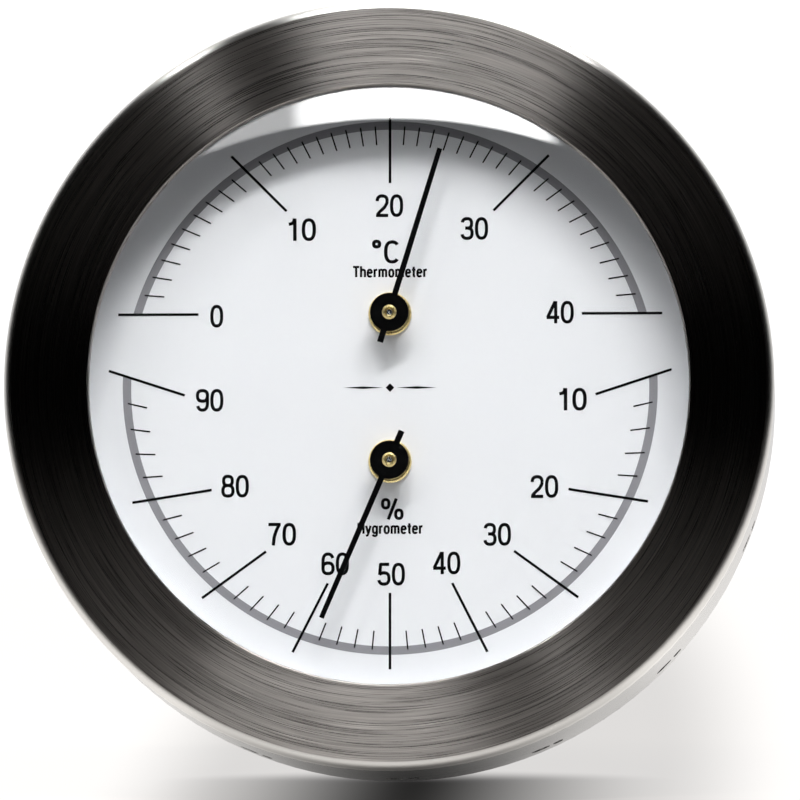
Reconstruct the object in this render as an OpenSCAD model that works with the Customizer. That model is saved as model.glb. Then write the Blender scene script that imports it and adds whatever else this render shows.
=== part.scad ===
// Dial thermometer and hygrometer in a round stainless steel case, for a wall.
// Millimetres. The wall plane is y = 0, +Z is up and the dial faces -Y.
// Every module is drawn lying on its back: x to the right, y up the dial and
// z out of the wall. upright() then stands it up.

/* [Case] */
// Outside diameter of the case and the bezel
case_d = 132; // [130:1:136]
// Depth from the wall plane to the front of the bezel
case_depth = 42; // [42:0.5:46]
// Sheet thickness of the case and the bezel
wall = 1.2; // [1:0.1:1.3]
// Radius of the rounded edges at the front and the back
edge_r = 1.5; // [1.3:0.1:1.8]
// Depth of the bezel's skirt behind its front
skirt_depth = 5.5; // [4.5:0.5:6]
// Height of the back plate's rim, where the band begins
rim_h = 2; // [1.9:0.1:2.5]
// Radius of the opening in the bezel, where its face ends
opening_r = 51.5; // [51.3:0.1:52.5]
// How far the inner lip leans in below the face
lip_lean = 0.15; // [0.1:0.05:1]

/* [Vents] */
// Number of vent pairs round the side
vent_pairs = 16; // [8:1:20]
// Distance of the vents from the wall plane
vent_z = 10.5; // [9:0.5:14]
// Width of the wide slot of a pair
vent_wide = 3.4; // [2.5:0.1:3.6]
// Width of the narrow slot of a pair
vent_narrow = 1.8; // [1.5:0.1:2]
// Height of both slots along the case's depth
vent_h = 4.6; // [4:0.1:5]

/* [Wall hanging] */
// Distance of the seat of the wall screw above the centre
seat_y = 48; // [44:1:49]
// Diameter of the keyhole's round entry
key_d = 9; // [8:0.5:10]
// Width of the keyhole's slot
key_slot = 4.6; // [4:0.1:5]
// Distance from the round entry to the seat
key_drop = 9; // [8:0.5:10]
// Diameter of the hole for the screwdriver
access_d = 6; // [5.5:0.5:7]

/* [Glass and dial] */
// Thickness of the glass
glass_t = 1.5; // [1.2:0.1:1.6]
// Gap between the dial and the glass
glass_gap = 4.3; // [4.2:0.1:4.6]
// Thickness of the dial plate
dial_t = 0.8; // [0.6:0.1:1]
// Distance of each pointer's axis above or below the dial's centre
pivot_y = 12.7; // [12.5:0.1:13]

/* [Pointers] */
// Length of a pointer from its axis to its tip
hand_len = 29.5; // [28:0.5:30]
// Length of its tail
tail_len = 5.4; // [4:0.1:6]
// Width of its blade at the tail
hand_w = 1.05; // [0.8:0.05:1.2]
// Width of its blade at the tip
tip_w = 0.85; // [0.6:0.05:1]
// Diameter of its round disc
disc_d = 6.6; // [6:0.1:6.8]
// Temperature shown, in degrees Celsius
shown_temp = 23.8; // [10:0.1:35]
// Relative humidity shown, in percent
shown_rh = 58.6; // [30:0.1:80]

/* [Movement] */
// Thickness of the brass plates
plate_t = 1.2; // [1.1:0.1:1.3]
// Diameter of the pointer shafts
shaft_d = 1; // [0.8:0.05:1.2]
// Module of the teeth
tooth_m = 0.3; // [0.29:0.01:0.31]
// Teeth of the pinion
pinion_teeth = 14; // [14:2:14]
// Teeth of a full circle of the sector
sector_teeth = 168; // [168:14:168]
// Distance from the sector's axis to the hair hook
hair_arm = 4.9; // [4.5:0.1:5.5]
// Width of the bimetal strip
bimetal_w = 3.5; // [3:0.1:4]

/* [Hidden] */
$fn = 96;
case_r = case_d / 2;
face_z = case_depth;
seam_z = face_z - skirt_depth;
skirt_gap = 0.12;
neck_r = case_r - wall - 0.05;
neck_bore = neck_r - wall;
neck_top = face_z - 1.9;
lip_r = opening_r - lip_lean;
lip_z = face_z - 1.8;
gasket_t = 0.4;
glass_top = lip_z - gasket_t;
glass_bottom = glass_top - glass_t;
glass_r = 60.5;
stack_r = 61.8;
sight_r = 52.7;
dial_top = glass_bottom - glass_gap;
dial_bottom = dial_top - dial_t;
plate_bottom = dial_bottom - plate_t;

pillar_r = 3;
pillar_at = 57;
pillar_angles = [30, 150, 270];
dial_screw_r = 1.5;

shaft_r = shaft_d / 2;
bore_gap = 0.05;
barrel_r = 2.5;
barrel_gap = 0.05;
nut_r = 3.7;
nut_step_r = 3.15;
flange_r = 4.2;
flange_t = 1.2;
collet_r = 1.25;
barrel_top = dial_top + 2.9;
hand_z = barrel_top + 0.5;
hand_t = 0.3;
collet_top = hand_z + 0.6;
dish_h = 0.4;

thermo = [0, pivot_y];
hygro = [0, -pivot_y];
deg_per_c = 4.5;
deg_per_rh = 2.7;
thermo_turn = (shown_temp - 20) * deg_per_c;
hygro_turn = 180 + (shown_rh - 50) * deg_per_rh;

frame_half = 15;
frame_w = 12;
frame_back = 12;
spiral_z = 17;
spiral_r0 = 2.6;
spiral_t = 0.4;
spiral_pitch = 1.6;
spiral_halves = 11;
spiral_end = spiral_r0 + (spiral_halves - 1) * spiral_pitch / 2;
thermo_hub_r = 2.3;

bridge_z = 20;
bridge_t = 1.2;
bridge_right = 10.5;
pitch_pinion = tooth_m * pinion_teeth / 2;
pitch_sector = tooth_m * sector_teeth / 2;
sector = hygro - [pitch_pinion + pitch_sector, 0];
bridge_left = sector[0] - 8;
post_r = 2;
sector_z = 26.5;
sector_t = 1;
sector_span = 17;
backlash = 0.04;
pressure_angle = 20;
tooth_steps = 4;
stud_r = 0.9;
hook_r = 0.6;
hair_z = 28.6;
hair_r = 0.5;
hairspring_z = 22.6;
hairspring_h = 1;
hairspring_r0 = 1.6;
hairspring_t = 0.16;
hairspring_pitch = 0.9;
hairspring_halves = 9;
hairspring_end = hairspring_r0 + (hairspring_halves - 1) * hairspring_pitch / 2;
hygro_hub_r = 1.45;

adjuster = [47, -17.6];
clamp_at = [47, hygro[1] + hair_arm];
arbor_r = 2;
arbor_head_r = 3;
washer_t = 0.4;
lever_t = 1;
lever_z = plate_bottom - washer_t - lever_t;
clamp_h = 2.6;
clamp_half = 1.8;

// Stands a shape up, so that its z points out of the wall along -Y.
module upright() {
    rotate([90, 0, 0]) children();
}

// A flat ring or, with no bore, a disc.
module ring(r, bore, z0, z1) {
    translate([0, 0, z0])
        difference() {
            cylinder(r = r, h = z1 - z0);
            if (bore > 0)
                translate([0, 0, -1]) cylinder(r = bore, h = z1 - z0 + 2);
        }
}

// A plain hole from z0 to z1.
module hole(at, r, z0, z1) {
    translate([at[0], at[1], z0]) cylinder(r = r, h = z1 - z0, $fn = 48);
}

// Points of an arc from angle a0 to a1.
function arc(cx, cy, r, a0, a1, steps = 12) =
    [for (i = [0:steps]) let (a = a0 + (a1 - a0) * i / steps) [cx + r * cos(a), cy + r * sin(a)]];

/* ---- Case ---- */

// The band's front end is drawn in to a neck that the bezel slips over.
module band_profile() {
    polygon([
        [case_r, rim_h],
        [case_r, seam_z],
        [neck_r, seam_z],
        [neck_r, neck_top],
        [neck_bore, neck_top],
        [neck_bore, seam_z - 1.5],
        [case_r - wall, seam_z - 3],
        [case_r - wall, rim_h]
    ]);
}

// The back plate has a rounded rim and a low collar that fits in the band.
module back_profile() {
    collar_h = 5;
    polygon(concat(
        [[0, 0]],
        arc(case_r - edge_r, edge_r, edge_r, -90, 0),
        [
            [case_r, rim_h],
            [neck_r, rim_h],
            [neck_r, collar_h],
            [neck_bore, collar_h],
            [neck_bore, wall],
            [0, wall]
        ]
    ));
}

// A round-ended slot through the side, long along the case's depth.
module vent_slot(width, angle) {
    reach = 4 * wall;
    rotate([0, 0, angle])
        translate([case_r - reach / 2, 0, vent_z])
            rotate([0, 90, 0]) {
                translate([-(vent_h - width) / 2, -width / 2, 0])
                    cube([vent_h - width, width, reach]);
                for (side = [-1, 1])
                    translate([side * (vent_h - width) / 2, 0, 0])
                        cylinder(d = width, h = reach, $fn = 24);
            }
}

// The narrow slot stands just beside the wide one.
module vent_cuts() {
    web = 0.7;
    mm_to_deg = 180 / (PI * case_r);
    step = ((vent_wide + vent_narrow) / 2 + web) * mm_to_deg;
    for (i = [0:vent_pairs - 1]) {
        vent_slot(vent_wide, i * 360 / vent_pairs);
        vent_slot(vent_narrow, i * 360 / vent_pairs + step);
    }
}

module keyhole_cut() {
    hole([0, seat_y - key_drop], key_d / 2, -1, wall + 1);
    hole([0, seat_y], key_slot / 2, -1, wall + 1);
    translate([-key_slot / 2, seat_y - key_drop, -1])
        cube([key_slot, key_drop, wall + 2]);
}

module case_band() {
    color("lightgray") upright() difference() {
        rotate_extrude() band_profile();
        vent_cuts();
    }
}

module case_back() {
    color("gainsboro") upright() difference() {
        rotate_extrude() back_profile();
        keyhole_cut();
        hole(adjuster, access_d / 2, -1, wall + 1);
    }
}

module bezel_ring() {
    color("silver") upright() rotate_extrude() polygon(concat(
        arc(case_r - edge_r, face_z - edge_r, edge_r, 0, 90),
        [
            [opening_r + 0.2, face_z],
            [opening_r, face_z - 0.2],
            [lip_r, face_z - 1],
            [lip_r, lip_z],
            [lip_r + wall, lip_z],
            [opening_r + wall, face_z - wall],
            [case_r - wall, face_z - wall],
            [case_r - wall, seam_z + skirt_gap],
            [case_r, seam_z + skirt_gap]
        ]
    ));
}

module glass_gasket() {
    clear = 0.1;
    color("dimgray") upright() rotate_extrude() polygon([
        [lip_r + 0.35, glass_top],
        [glass_r, glass_top],
        [glass_r, face_z - wall],
        [opening_r + wall + clear, face_z - wall],
        [opening_r + wall + clear, lip_z],
        [lip_r + 0.35, lip_z]
    ]);
}

module front_glass() {
    bevel = 0.3;
    color("aliceblue", 0.35) upright() rotate_extrude() polygon([
        [0, glass_bottom],
        [glass_r - bevel, glass_bottom],
        [glass_r, glass_bottom + bevel],
        [glass_r, glass_top - bevel],
        [glass_r - bevel, glass_top],
        [0, glass_top]
    ]);
}

module spacer_ring() {
    color("whitesmoke") upright() difference() {
        ring(stack_r, sight_r, dial_top, glass_bottom);
        for (a = pillar_angles)
            hole(pillar_at * [cos(a), sin(a)], 3.2, dial_top - 1, glass_bottom + 1);
    }
}

module dial_plate() {
    color("white") upright() difference() {
        ring(stack_r, 0, dial_bottom, dial_top);
        for (at = [thermo, hygro])
            hole(at, barrel_r + barrel_gap, dial_bottom - 1, dial_top + 1);
        for (a = pillar_angles)
            hole(pillar_at * [cos(a), sin(a)], dial_screw_r + 0.1, dial_bottom - 1, dial_top + 1);
    }
}

module mounting_pillars() {
    bore_depth = 9;
    color("gainsboro") upright()
        for (a = pillar_angles)
            translate(pillar_at * [cos(a), sin(a), 0])
                ring(pillar_r, 0, wall, dial_bottom - bore_depth);
    color("gainsboro") upright()
        for (a = pillar_angles)
            translate(pillar_at * [cos(a), sin(a), 0])
                ring(pillar_r, dial_screw_r, dial_bottom - bore_depth, dial_bottom);
}

// A pan-headed screw whose head rests at z and whose shank runs back from it.
module pan_screw(r, length, head_r, head_h, z) {
    slot_w = head_r / 4;
    difference() {
        union() {
            ring(r, 0, z - length, z);
            ring(head_r, 0, z, z + head_h);
        }
        translate([-head_r - 1, -slot_w / 2, z + head_h * 0.5])
            cube([2 * head_r + 2, slot_w, head_h]);
    }
}

module dial_screws() {
    color("silver") upright()
        for (a = pillar_angles)
            translate(pillar_at * [cos(a), sin(a), 0])
                pan_screw(dial_screw_r, 8, 2.8, 1.8, dial_top);
}

/* ---- Parts that both movements share ---- */

// The threaded bush that clamps a movement to the back of the dial.
module bush(at) {
    color("darkgoldenrod") upright() translate(at) difference() {
        union() {
            ring(flange_r, 0, plate_bottom - flange_t, plate_bottom);
            ring(barrel_r, 0, plate_bottom, barrel_top);
        }
        hole([0, 0], shaft_r + bore_gap, plate_bottom - flange_t - 1, barrel_top + 1);
    }
}

// The stepped round nut on the front of the dial.
module nut(at) {
    bevel = 0.25;
    step_h = 0.6;
    nut_h = 1.1;
    color("goldenrod") upright() translate([at[0], at[1], dial_top]) rotate_extrude() polygon([
        [barrel_r, 0],
        [nut_r, 0],
        [nut_r, step_h - bevel],
        [nut_r - bevel, step_h],
        [nut_step_r, step_h],
        [nut_step_r, nut_h - bevel],
        [nut_step_r - bevel, nut_h],
        [barrel_r, nut_h]
    ]);
}

// The blind bush at the back of a movement, with its flange behind the plate.
module bearing(at, z, t) {
    floor_t = 0.4;
    flange = 1;
    color("darkgoldenrod") upright() translate(at) difference() {
        union() {
            ring(1.5, 0, z, z + t);
            ring(2.4, 0, z - flange, z);
        }
        hole([0, 0], shaft_r + bore_gap, z - flange + floor_t, z + t + 1);
    }
}

module shaft(at, z0) {
    color("lightsteelblue") upright() translate(at) ring(shaft_r, 0, z0, collet_top - dish_h);
}

// A brass sleeve that holds something on a shaft.
module hub(at, r, z0, z1) {
    color("goldenrod") upright() translate(at) ring(r, shaft_r, z0, z1);
}

// The brass tube that the pointer is riveted on, with a dished end.
module collet(at) {
    foot_r = 1.75;
    bevel = 0.25;
    color("gold") upright() translate(at) difference() {
        union() {
            ring(foot_r, 0, hand_z - 0.3, hand_z);
            ring(collet_r, 0, hand_z, collet_top - bevel);
            translate([0, 0, collet_top - bevel])
                cylinder(r1 = collet_r, r2 = collet_r - 1.3 * bevel, h = bevel);
        }
        hole([0, 0], shaft_r, hand_z - 1, collet_top + 1);
        translate([0, 0, collet_top - dish_h])
            cylinder(r1 = shaft_r, r2 = 0.78, h = dish_h + 0.01, $fn = 48);
    }
}

module pointer(at, turn) {
    color([0.06, 0.06, 0.06]) upright() translate(at) rotate([0, 0, -turn]) difference() {
        union() {
            ring(disc_d / 2, 0, hand_z, hand_z + hand_t);
            translate([0, 0, hand_z]) linear_extrude(hand_t) polygon([
                [-hand_w / 2, -tail_len],
                [hand_w / 2, -tail_len],
                [tip_w / 2, hand_len],
                [-tip_w / 2, hand_len]
            ]);
        }
        hole([0, 0], collet_r, hand_z - 1, hand_z + 1);
    }
}

// Half of a flat ring of strip, with its middle line at radius r.
module half_turn(r, t, h, centre_x, start) {
    translate([centre_x, 0, 0])
        rotate([0, 0, start])
            rotate_extrude(angle = 180)
                translate([r - t / 2, 0]) square([t, h]);
}

// A flat spiral drawn as half turns about two centres.
module spiral(r0, t, pitch, halves, h) {
    for (k = [0:halves - 1])
        half_turn(r0 + k * pitch / 2, t, h, k % 2 == 0 ? 0 : pitch / 2, k % 2 == 0 ? 0 : 180);
}

/* ---- Thermometer movement ---- */

// One bent strip: a front plate, two legs and a back plate.
module thermometer_frame() {
    color("goldenrod") upright() translate(thermo) difference() {
        union() {
            for (z = [plate_bottom, frame_back])
                translate([-frame_half, -frame_w / 2, z])
                    cube([2 * frame_half, frame_w, plate_t]);
            for (x = [-frame_half, frame_half - plate_t])
                translate([x, -frame_w / 2, frame_back])
                    cube([plate_t, frame_w, dial_bottom - frame_back]);
        }
        hole([0, 0], barrel_r, plate_bottom - 1, dial_bottom + 1);
        hole([0, 0], 1.5, frame_back - 1, frame_back + plate_t + 1);
    }
}

module thermometer_bush() {
    bush(thermo);
}

module thermometer_nut() {
    nut(thermo);
}

module thermometer_bearing() {
    bearing(thermo, frame_back, plate_t);
}

// The strip runs from the hub out to the slit of the anchor post.
module bimetal_spiral() {
    tail = 1.6;
    color("peru") upright() translate([thermo[0], thermo[1], spiral_z]) {
        spiral(spiral_r0, spiral_t, spiral_pitch, spiral_halves, bimetal_w);
        translate([-spiral_end - spiral_t / 2, -tail, 0]) cube([spiral_t, tail, bimetal_w]);
    }
}

module spiral_anchor_post() {
    color("gold") upright() translate(thermo + [-spiral_end, -1]) difference() {
        ring(1, 0, spiral_z - 0.5, plate_bottom);
        translate([-spiral_t / 2, -2, spiral_z - 1]) cube([spiral_t, 4, bimetal_w + 1.1]);
    }
}

module thermometer_shaft() {
    shaft(thermo, frame_back - 0.5);
}

module thermometer_hub() {
    hub(thermo, thermo_hub_r, spiral_z - 0.5, spiral_z + bimetal_w + 1.5);
}

module thermometer_collet() {
    collet(thermo);
}

module thermometer_pointer() {
    pointer(thermo, thermo_turn);
}

/* ---- Hygrometer movement ---- */

module hygrometer_plate() {
    left = bridge_left - 3;
    right = adjuster[0] + 5;
    bottom = adjuster[1] - 4;
    top = clamp_at[1] + 4;
    color("goldenrod") upright() difference() {
        translate([left, bottom, plate_bottom])
            cube([right - left, top - bottom, plate_t]);
        hole(hygro, barrel_r, plate_bottom - 1, dial_bottom + 1);
        hole(sector, stud_r, plate_bottom - 1, dial_bottom + 1);
        hole(adjuster, arbor_r + bore_gap, plate_bottom - 1, dial_bottom + 1);
    }
}

module hygrometer_bush() {
    bush(hygro);
}

module hygrometer_nut() {
    nut(hygro);
}

module hygrometer_bearing() {
    bearing(hygro, bridge_z, bridge_t);
}

module hygrometer_bridge() {
    half = 4;
    color("goldenrod") upright() difference() {
        translate([bridge_left - half, hygro[1] - half, bridge_z])
            cube([bridge_right - bridge_left + 2 * half, 2 * half, bridge_t]);
        hole(hygro, 1.5, bridge_z - 1, bridge_z + bridge_t + 1);
        hole(sector, stud_r, bridge_z - 1, bridge_z + bridge_t + 1);
        for (x = [bridge_left, bridge_right])
            hole([x, hygro[1]], 1.1, bridge_z - 1, bridge_z + bridge_t + 1);
        hole(hygro + [-hairspring_end, -0.7], 0.7, bridge_z - 1, bridge_z + bridge_t + 1);
    }
}

module bridge_pillars() {
    tapped = 6;
    foot = bridge_z + bridge_t;
    color("gold") upright()
        for (x = [bridge_left, bridge_right])
            translate([x, hygro[1], 0]) difference() {
                ring(post_r, 0, foot, plate_bottom);
                hole([0, 0], 1, foot - 1, foot + tapped);
            }
}

// The bridge screws are driven from the back, so they point the other way.
module bridge_screws() {
    color("silver") upright()
        for (x = [bridge_left, bridge_right])
            translate([x, hygro[1], 0])
                mirror([0, 0, 1]) pan_screw(1, 6, 1.9, 1.2, -bridge_z);
}

module hairspring() {
    tail = 1.2;
    color("lightsteelblue") upright() translate([hygro[0], hygro[1], hairspring_z]) {
        spiral(hairspring_r0, hairspring_t, hairspring_pitch, hairspring_halves, hairspring_h);
        translate([-hairspring_end - hairspring_t / 2, -tail, 0])
            cube([hairspring_t, tail, hairspring_h]);
    }
}

// The hairspring ends in the slit of this post, which is riveted in the bridge.
module hairspring_post() {
    top = hairspring_z + hairspring_h + 0.4;
    color("gold") upright() translate(hygro + [-hairspring_end, -0.7]) difference() {
        ring(0.7, 0, bridge_z, top);
        translate([-hairspring_t / 2, -2, hairspring_z - 0.05]) cube([hairspring_t, 4, 3]);
    }
}

module hygrometer_shaft() {
    shaft(hygro, bridge_z - 0.5);
}

module hygrometer_hub() {
    hub(hygro, hygro_hub_r, hairspring_z - 0.3, hairspring_z + hairspring_h + 0.8);
}

function involute(base, a) = base * [cos(a) + a * PI / 180 * sin(a), sin(a) - a * PI / 180 * cos(a)];
function turned(p, a) = [p[0] * cos(a) - p[1] * sin(a), p[0] * sin(a) + p[1] * cos(a)];
// Roll angle at which an involute of a base circle reaches radius r.
function roll(base, r) = r <= base ? 0 : sqrt(r * r / (base * base) - 1) * 180 / PI;

// One tooth centred on angle 0, from its right root to its left root.
function tooth(teeth) =
    let (
        pitch = tooth_m * teeth / 2,
        base = pitch * cos(pressure_angle),
        tip = pitch + 0.9 * tooth_m,
        root = pitch - 1.2 * tooth_m,
        at_pitch = involute(base, roll(base, pitch)),
        half = 90 / teeth - backlash / 2 / pitch * 180 / PI,
        shift = -half - atan2(at_pitch[1], at_pitch[0]),
        low = max(root, base),
        flank = [
            for (i = [0:tooth_steps])
                turned(involute(base, roll(base, low + (tip - low) * i / tooth_steps)), shift)
        ],
        foot = turned([root, 0], atan2(flank[0][1], flank[0][0])),
        side = concat([foot], flank)
    )
    concat(side, [for (i = [len(side) - 1:-1:0]) [side[i][0], -side[i][1]]]);

// The pinion has a gap facing the sector at rest.
module hygrometer_pinion() {
    one = tooth(pinion_teeth);
    pitch_deg = 360 / pinion_teeth;
    color("gold") upright() translate([hygro[0], hygro[1], sector_z - 0.7]) difference() {
        linear_extrude(sector_t + 1.4)
            polygon([for (k = [0:pinion_teeth - 1], p = one) turned(p, (k + 0.5) * pitch_deg)]);
        translate([0, 0, -1]) cylinder(r = shaft_r, h = sector_t + 4, $fn = 48);
    }
}

module hygrometer_collet() {
    collet(hygro);
}

module hygrometer_pointer() {
    pointer(hygro, hygro_turn);
}

// The stud is riveted through the plate and the bridge.
module sector_stud() {
    color("lightsteelblue") upright() translate(sector)
        ring(stud_r, 0, bridge_z, dial_bottom);
}

module sector_clip() {
    color("dimgray") upright() translate(sector) ring(1.9, stud_r, sector_z - 1.9, sector_z - 1.4);
}

// The toothed sector, its hub and the short arm that the hair pulls on.
module sector_gear() {
    one = tooth(sector_teeth);
    pitch_deg = 360 / sector_teeth;
    half = (sector_span - 1) / 2;
    edge_deg = (half + 0.6) * pitch_deg;
    rim_r = pitch_sector - 1.2 * tooth_m;
    arm_w = 2.6;
    color("goldenrod") upright() translate(sector) difference() {
        union() {
            translate([0, 0, sector_z]) linear_extrude(sector_t) {
                polygon(concat(
                    [[0, -2], [rim_r * cos(edge_deg), -rim_r * sin(edge_deg)]],
                    [for (k = [-half:half], p = one) turned(p, k * pitch_deg)],
                    [[rim_r * cos(edge_deg), rim_r * sin(edge_deg)], [0, 2]]
                ));
                translate([-arm_w / 2, 0]) square([arm_w, hair_arm]);
                translate([0, hair_arm]) circle(d = arm_w);
            }
            ring(2.2, 0, sector_z - 1.3, plate_bottom - 0.1);
        }
        hole([0, 0], stud_r + bore_gap, sector_z - 2, plate_bottom + 1);
        hole([0, hair_arm], hook_r, sector_z - 1, sector_z + 2);
        for (side = [-1, 1])
            rotate([0, 0, side * 8]) hole([pitch_sector * 0.72, 0], 1.6, sector_z - 1, sector_z + 2);
    }
}

module hair_hook() {
    color("gold") upright() translate(sector + [0, hair_arm]) {
        ring(hook_r, 0, sector_z, hair_z + hair_r + 0.3);
        ring(1.1, 0, hair_z + hair_r + 0.3, hair_z + hair_r + 0.7);
    }
}

// The bundle of synthetic hair, from the hook to the clamp.
module hair_bundle() {
    from = sector[0] + hook_r + 0.02;
    to = clamp_at[0] - clamp_half;
    color("tan") upright() translate([from, clamp_at[1], hair_z])
        rotate([0, 90, 0]) cylinder(r = hair_r, h = to - from, $fn = 24);
}

/* ---- Calibration lever ---- */

// A friction-tight arbor with a screwdriver slot that faces the back.
module adjuster_arbor() {
    head_h = 5;
    slot_w = 0.9;
    color("gold") upright() translate(adjuster) difference() {
        union() {
            ring(arbor_r, 0, lever_z, dial_bottom - 0.1);
            ring(arbor_head_r, 0, lever_z - head_h, lever_z);
        }
        translate([-slot_w / 2, -arbor_head_r - 1, lever_z - head_h - 1])
            cube([slot_w, 2 * arbor_head_r + 2, 2.5]);
    }
}

module adjuster_lever() {
    w = 4.4;
    reach = clamp_at[1] - adjuster[1];
    color("goldenrod") upright() translate([adjuster[0], adjuster[1], lever_z]) difference() {
        linear_extrude(lever_t) {
            circle(r = 3.4);
            translate([-w / 2, 0]) square([w, reach + 2]);
        }
        translate([0, 0, -1]) cylinder(r = arbor_r, h = lever_t + 2, $fn = 48);
    }
}

module adjuster_washer() {
    color("silver") upright() translate(adjuster)
        ring(3.8, arbor_r + bore_gap, plate_bottom - washer_t, plate_bottom);
}

module hair_clamp() {
    color("gold") upright() translate([clamp_at[0], clamp_at[1], lever_z - clamp_h]) difference() {
        translate([-clamp_half, -clamp_half, 0]) cube([2 * clamp_half, 2 * clamp_half, clamp_h]);
        translate([0, 0, -1]) cylinder(r = 0.7, h = 2.2, $fn = 48);
    }
}

module hair_clamp_screw() {
    color("silver") upright() translate(clamp_at)
        mirror([0, 0, 1]) pan_screw(0.7, 1.2, 1.3, 0.8, clamp_h - lever_z);
}

case_band();
case_back();
bezel_ring();
glass_gasket();
front_glass();
spacer_ring();
dial_plate();
mounting_pillars();
dial_screws();
thermometer_frame();
thermometer_bush();
thermometer_nut();
thermometer_bearing();
bimetal_spiral();
spiral_anchor_post();
thermometer_shaft();
thermometer_hub();
thermometer_collet();
thermometer_pointer();
hygrometer_plate();
hygrometer_bush();
hygrometer_nut();
hygrometer_bearing();
hygrometer_bridge();
bridge_pillars();
bridge_screws();
hairspring();
hairspring_post();
hygrometer_shaft();
hygrometer_hub();
hygrometer_pinion();
hygrometer_collet();
hygrometer_pointer();
sector_stud();
sector_clip();
sector_gear();
hair_hook();
hair_bundle();
adjuster_arbor();
adjuster_lever();
adjuster_washer();
hair_clamp();
hair_clamp_screw();
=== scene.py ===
"""A round wall thermometer and hygrometer, dressed for a plain studio.

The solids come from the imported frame. This script prints the dial, gives each
piece its finish and sets up the floor, the lights and the camera.
"""

import logging
import math
from dataclasses import dataclass
from enum import Enum
from typing import Any

import bmesh
import bpy
from mathutils import Matrix, Vector

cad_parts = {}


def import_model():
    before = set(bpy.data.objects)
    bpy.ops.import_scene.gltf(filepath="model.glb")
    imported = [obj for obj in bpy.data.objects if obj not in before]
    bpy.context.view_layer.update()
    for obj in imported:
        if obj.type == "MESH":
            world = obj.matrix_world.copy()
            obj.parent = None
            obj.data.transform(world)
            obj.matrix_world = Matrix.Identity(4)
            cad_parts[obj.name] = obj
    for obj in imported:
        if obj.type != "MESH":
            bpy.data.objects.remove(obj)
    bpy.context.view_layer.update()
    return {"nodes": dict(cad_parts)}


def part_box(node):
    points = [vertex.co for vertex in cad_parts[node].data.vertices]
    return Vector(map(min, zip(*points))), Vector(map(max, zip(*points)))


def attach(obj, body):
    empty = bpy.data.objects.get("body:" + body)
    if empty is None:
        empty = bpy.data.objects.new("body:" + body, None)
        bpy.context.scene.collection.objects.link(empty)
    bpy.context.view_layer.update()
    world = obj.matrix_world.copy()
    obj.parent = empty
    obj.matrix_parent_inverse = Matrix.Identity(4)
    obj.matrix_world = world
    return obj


# A span is where something begins and where it is full, or its two ends.
Span = tuple[float, float]

MM = 0.001
LOG = logging.getLogger("dial_hygrometer")


def linear(colour: str) -> tuple[float, float, float, float]:
    """Turns an sRGB hex colour into the linear one that shaders use.

    Args:
        colour: six hex digits, such as "E0E2E5".

    Returns:
        Red, green, blue and an alpha of 1, all from 0 to 1.
    """
    parts = [int(colour[i:i + 2], 16) / 255 for i in (0, 2, 4)]
    red, green, blue = (
        c / 12.92 if c <= 0.04045 else ((c + 0.055) / 1.055) ** 2.4 for c in parts
    )
    return red, green, blue, 1.0


def add_node(
    tree: bpy.types.NodeTree,
    kind: str,
    settings: dict[str, Any] | None = None,
    inputs: dict[str | int, Any] | None = None,
) -> bpy.types.Node:
    """Adds a node to a tree, with its settings, values and links.

    Args:
        tree: the node tree that gets it.
        kind: the node's type name, such as "ShaderNodeMath".
        settings: attributes of the node.
        inputs: for each input socket a value, or the output socket to link to it.

    Returns:
        The new node.
    """
    node = tree.nodes.new(kind)
    for name, value in (settings or {}).items():
        setattr(node, name, value)
    for name, value in (inputs or {}).items():
        socket = node.inputs[name]
        if isinstance(value, bpy.types.NodeSocket):
            tree.links.new(value, socket)
        else:
            socket.default_value = value
    return node


def new_material(name: str) -> tuple[bpy.types.Material, bpy.types.NodeTree, bpy.types.Node]:
    """Makes an empty material with its output node.

    Args:
        name: what the material is called.

    Returns:
        The material, its node tree and its output node.
    """
    material = bpy.data.materials.new(name)
    material.use_nodes = True
    tree = material.node_tree
    tree.nodes.clear()
    return material, tree, add_node(tree, "ShaderNodeOutputMaterial")


def grain_pattern(
    tree: bpy.types.NodeTree,
    size_mm: float,
    stretch: tuple[float, float, float],
    detail: float,
) -> bpy.types.NodeSocket:
    """Builds a fine noise on a piece's own coordinates.

    Args:
        tree: the material's node tree.
        size_mm: the size of one grain.
        stretch: how many times finer the noise is along each axis.
        detail: how many finer layers the noise has.

    Returns:
        The noise, from 0 to 1.
    """
    place = add_node(tree, "ShaderNodeTexCoord").outputs["Object"]
    step = 1 / (size_mm * MM)
    scaled = add_node(tree, "ShaderNodeMapping", inputs={
        "Vector": place, "Scale": tuple(step * s for s in stretch),
    }).outputs[0]
    return add_node(tree, "ShaderNodeTexNoise", inputs={
        "Vector": scaled, "Scale": 1.0, "Detail": detail,
    }).outputs["Fac"]


def varied_colour(
    tree: bpy.types.NodeTree,
    pattern: bpy.types.NodeSocket,
    colour: str,
    spread: float,
    ends: Span = (0.0, 1.0),
) -> bpy.types.NodeSocket:
    """Darkens and lightens a colour as a pattern goes.

    Args:
        tree: the material's node tree.
        pattern: what the colour follows.
        colour: the middle colour, in six hex digits.
        spread: the share by which it darkens and lightens.
        ends: the pattern's values where the colour is darkest and palest.

    Returns:
        The colour.
    """
    ramp = add_node(tree, "ShaderNodeValToRGB", inputs={0: pattern})
    shares = (1 - spread, 1 + spread)
    for element, end, share in zip(ramp.color_ramp.elements, ends, shares):
        element.position = end
        element.color = (*(min(1.0, c * share) for c in linear(colour)[:3]), 1.0)
    return ramp.outputs[0]


class Brushing(Enum):
    """Which way the fine scratches of a metal run."""

    ROUND_FACE = "turned"
    ROUND_WALL = "rolled"
    ACROSS = "straight"


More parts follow.
